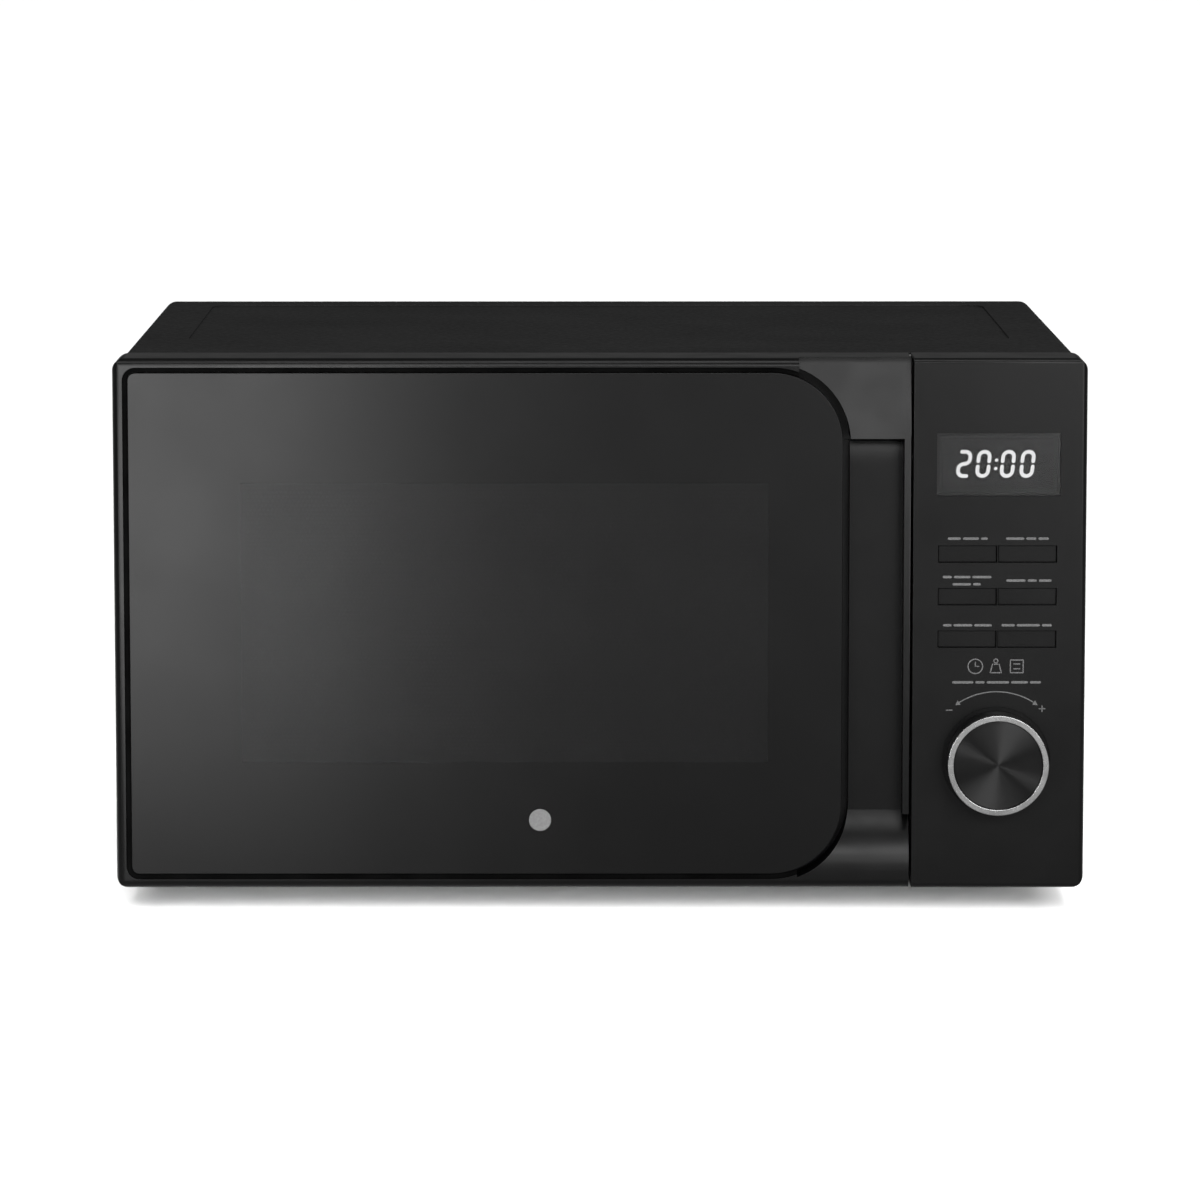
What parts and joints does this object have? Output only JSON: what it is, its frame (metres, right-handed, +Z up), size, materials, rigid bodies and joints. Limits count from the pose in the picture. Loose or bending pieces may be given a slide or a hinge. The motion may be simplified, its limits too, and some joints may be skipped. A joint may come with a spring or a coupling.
{
  "type": "microwave oven",
  "caption": "Countertop microwave oven with a side-hinged dark glass door, finger pocket, display, push keys, dial, and a turntable inside the oven cavity",
  "frame": {"origin": "on the resting surface, under the middle of the overall box", "axes": "+X to the right seen from the front, +Y to the back, +Z up"},
  "size_m": [0.44, 0.344, 0.256],
  "materials": {
    "casing_enamel": "satin black powder coat with a fine grain",
    "galvanised_steel": "bright galvanised sheet",
    "cavity_enamel": "grey speckled enamel",
    "foot_rubber": "matt black rubber",
    "black_gloss": "smooth glossy black moulding",
    "black_glass": "dark tinted polished glass with a black print",
    "smoked_lens": "smoked clear lens",
    "screen_steel": "black perforated sheet",
    "clear_film": "clear polycarbonate",
    "black_moulding": "matt black moulding",
    "white_moulding": "off-white heat-resistant moulding",
    "key_black": "satin black key",
    "dial_black": "black anodised, turned face",
    "dial_chrome": "bright plated ring",
    "tray_glass": "clear pressed glass",
    "mica": "silvery mica sheet",
    "copper": "enamelled copper",
    "core_iron": "varnished iron laminations",
    "can_aluminium": "drawn aluminium can",
    "lamp_glass": "clear lamp glass",
    "board_tan": "tan circuit board",
    "board_green": "green circuit board",
    "badge_print": "silver print"
  },
  "bodies": {
    "chassis": {"outer_casing": "casing_enamel", "back_panel": "galvanised_steel", "base_plate": "galvanised_steel", "feet": "foot_rubber", "front_plate": "cavity_enamel", "cavity_floor": "cavity_enamel", "cavity_wrap": "cavity_enamel", "cavity_back": "cavity_enamel", "waveguide": "galvanised_steel", "waveguide_cover": "mica", "magnetron_body": "galvanised_steel", "magnetron_core": "copper", "magnetron_filter_box": "galvanised_steel", "transformer_core": "core_iron", "transformer_windings": "copper", "capacitor": "can_aluminium", "high_voltage_diode": "black_moulding", "fan_motor": "core_iron", "fan_shroud": "black_moulding", "turntable_motor": "galvanised_steel", "lamp_holder": "white_moulding", "lamp_bulb": "lamp_glass", "noise_filter_board": "board_tan", "mains_fuse": "white_moulding", "thermal_cutouts": "black_moulding", "interlock_bracket": "white_moulding", "interlock_switches": "black_moulding", "control_panel": "black_gloss", "control_board": "board_green", "display_module": "black_moulding", "display_window": "smoked_lens", "dial_encoder": "galvanised_steel", "hinge_brackets": "galvanised_steel", "casing_screws": "galvanised_steel", "cord_gland": "foot_rubber"},
    "door": {"door_frame": "black_gloss", "door_glass": "black_glass", "door_screen": "screen_steel", "door_inner_window": "clear_film", "door_choke_cover": "black_moulding", "door_hinge_pins": "galvanised_steel", "door_badge": "badge_print", "latch_spring": "galvanised_steel"},
    "latch": {"door_latch": "white_moulding"},
    "dial": {"dial_knob": "dial_black", "dial_ring": "dial_chrome"},
    "turntable": {"turntable_coupler": "white_moulding"},
    "tray": {"glass_tray": "tray_glass"},
    "ring": {"roller_ring": "white_moulding"},
    "roller_a": {"roller_1": "white_moulding"},
    "roller_b": {"roller_2": "white_moulding"},
    "roller_c": {"roller_3": "white_moulding"},
    "fan": {"fan_blade": "white_moulding"},
    "press_key_1": {"key_1": "key_black"},
    "press_key_2": {"key_2": "key_black"},
    "press_key_3": {"key_3": "key_black"},
    "press_key_4": {"key_4": "key_black"},
    "press_key_5": {"key_5": "key_black"},
    "press_key_6": {"key_6": "key_black"}
  },
  "joints": [
    {"name": "door_swing", "type": "hinge", "parent": "chassis", "child": "door", "pos_m": [-0.213, -0.1355, 0.135], "axis": [0, 0, -1], "range_deg": [0, 105]},
    {"name": "latch_lift", "type": "slide", "parent": "door", "child": "latch", "axis": [0, 0, 1], "range_m": [0, 0.003], "stiffness_N_per_m": 150, "springref_m": -0.004, "deforming": ["latch_spring"]},
    {"name": "dial_turn", "type": "hinge", "parent": "chassis", "child": "dial", "pos_m": [0.1798, -0.16, 0.0729], "axis": [0, 1, 0], "continuous": true},
    {"name": "turntable_turn", "type": "hinge", "parent": "chassis", "child": "turntable", "pos_m": [-0.043, 0.0208, 0.045], "axis": [0, 0, 1], "continuous": true},
    {"name": "tray_lift", "type": "slide", "parent": "turntable", "child": "tray", "axis": [0, 0, 1], "range_m": [0, 0.05]},
    {"name": "ring_turn", "type": "hinge", "parent": "chassis", "child": "ring", "pos_m": [-0.043, 0.0208, 0.045], "axis": [0, 0, 1], "continuous": true},
    {"name": "fan_spin", "type": "hinge", "parent": "chassis", "child": "fan", "pos_m": [0.1639, 0.14, 0.168], "axis": [0, 1, 0], "continuous": true},
    {"name": "key_1_press", "type": "slide", "parent": "chassis", "child": "press_key_1", "axis": [0, 1, 0], "range_m": [0, 0.0008], "stiffness_N_per_m": 300, "springref_m": -0.001},
    {"name": "key_2_press", "type": "slide", "parent": "chassis", "child": "press_key_2", "axis": [0, 1, 0], "range_m": [0, 0.0008], "stiffness_N_per_m": 300, "springref_m": -0.001},
    {"name": "key_3_press", "type": "slide", "parent": "chassis", "child": "press_key_3", "axis": [0, 1, 0], "range_m": [0, 0.0008], "stiffness_N_per_m": 300, "springref_m": -0.001},
    {"name": "key_4_press", "type": "slide", "parent": "chassis", "child": "press_key_4", "axis": [0, 1, 0], "range_m": [0, 0.0008], "stiffness_N_per_m": 300, "springref_m": -0.001},
    {"name": "key_5_press", "type": "slide", "parent": "chassis", "child": "press_key_5", "axis": [0, 1, 0], "range_m": [0, 0.0008], "stiffness_N_per_m": 300, "springref_m": -0.001},
    {"name": "key_6_press", "type": "slide", "parent": "chassis", "child": "press_key_6", "axis": [0, 1, 0], "range_m": [0, 0.0008], "stiffness_N_per_m": 300, "springref_m": -0.001},
    {"name": "roll_1", "type": "hinge", "parent": "ring", "child": "roller_a", "pos_m": [0.0545, 0.0208, 0.0478], "axis": [1, 0, 0], "continuous": true},
    {"name": "roll_2", "type": "hinge", "parent": "ring", "child": "roller_b", "pos_m": [-0.09175, 0.10524, 0.0478], "axis": [-0.5, 0.866, 0], "continuous": true},
    {"name": "roll_3", "type": "hinge", "parent": "ring", "child": "roller_c", "pos_m": [-0.09175, -0.06364, 0.0478], "axis": [-0.5, -0.866, 0], "continuous": true}
  ],
  "couplings": [
    {"joint": "ring_turn", "follows": "turntable_turn", "ratio": 0.5},
    {"joint": "roll_1", "follows": "turntable_turn", "ratio": -6.5},
    {"joint": "roll_2", "follows": "turntable_turn", "ratio": -6.5},
    {"joint": "roll_3", "follows": "turntable_turn", "ratio": -6.5}
  ]
}
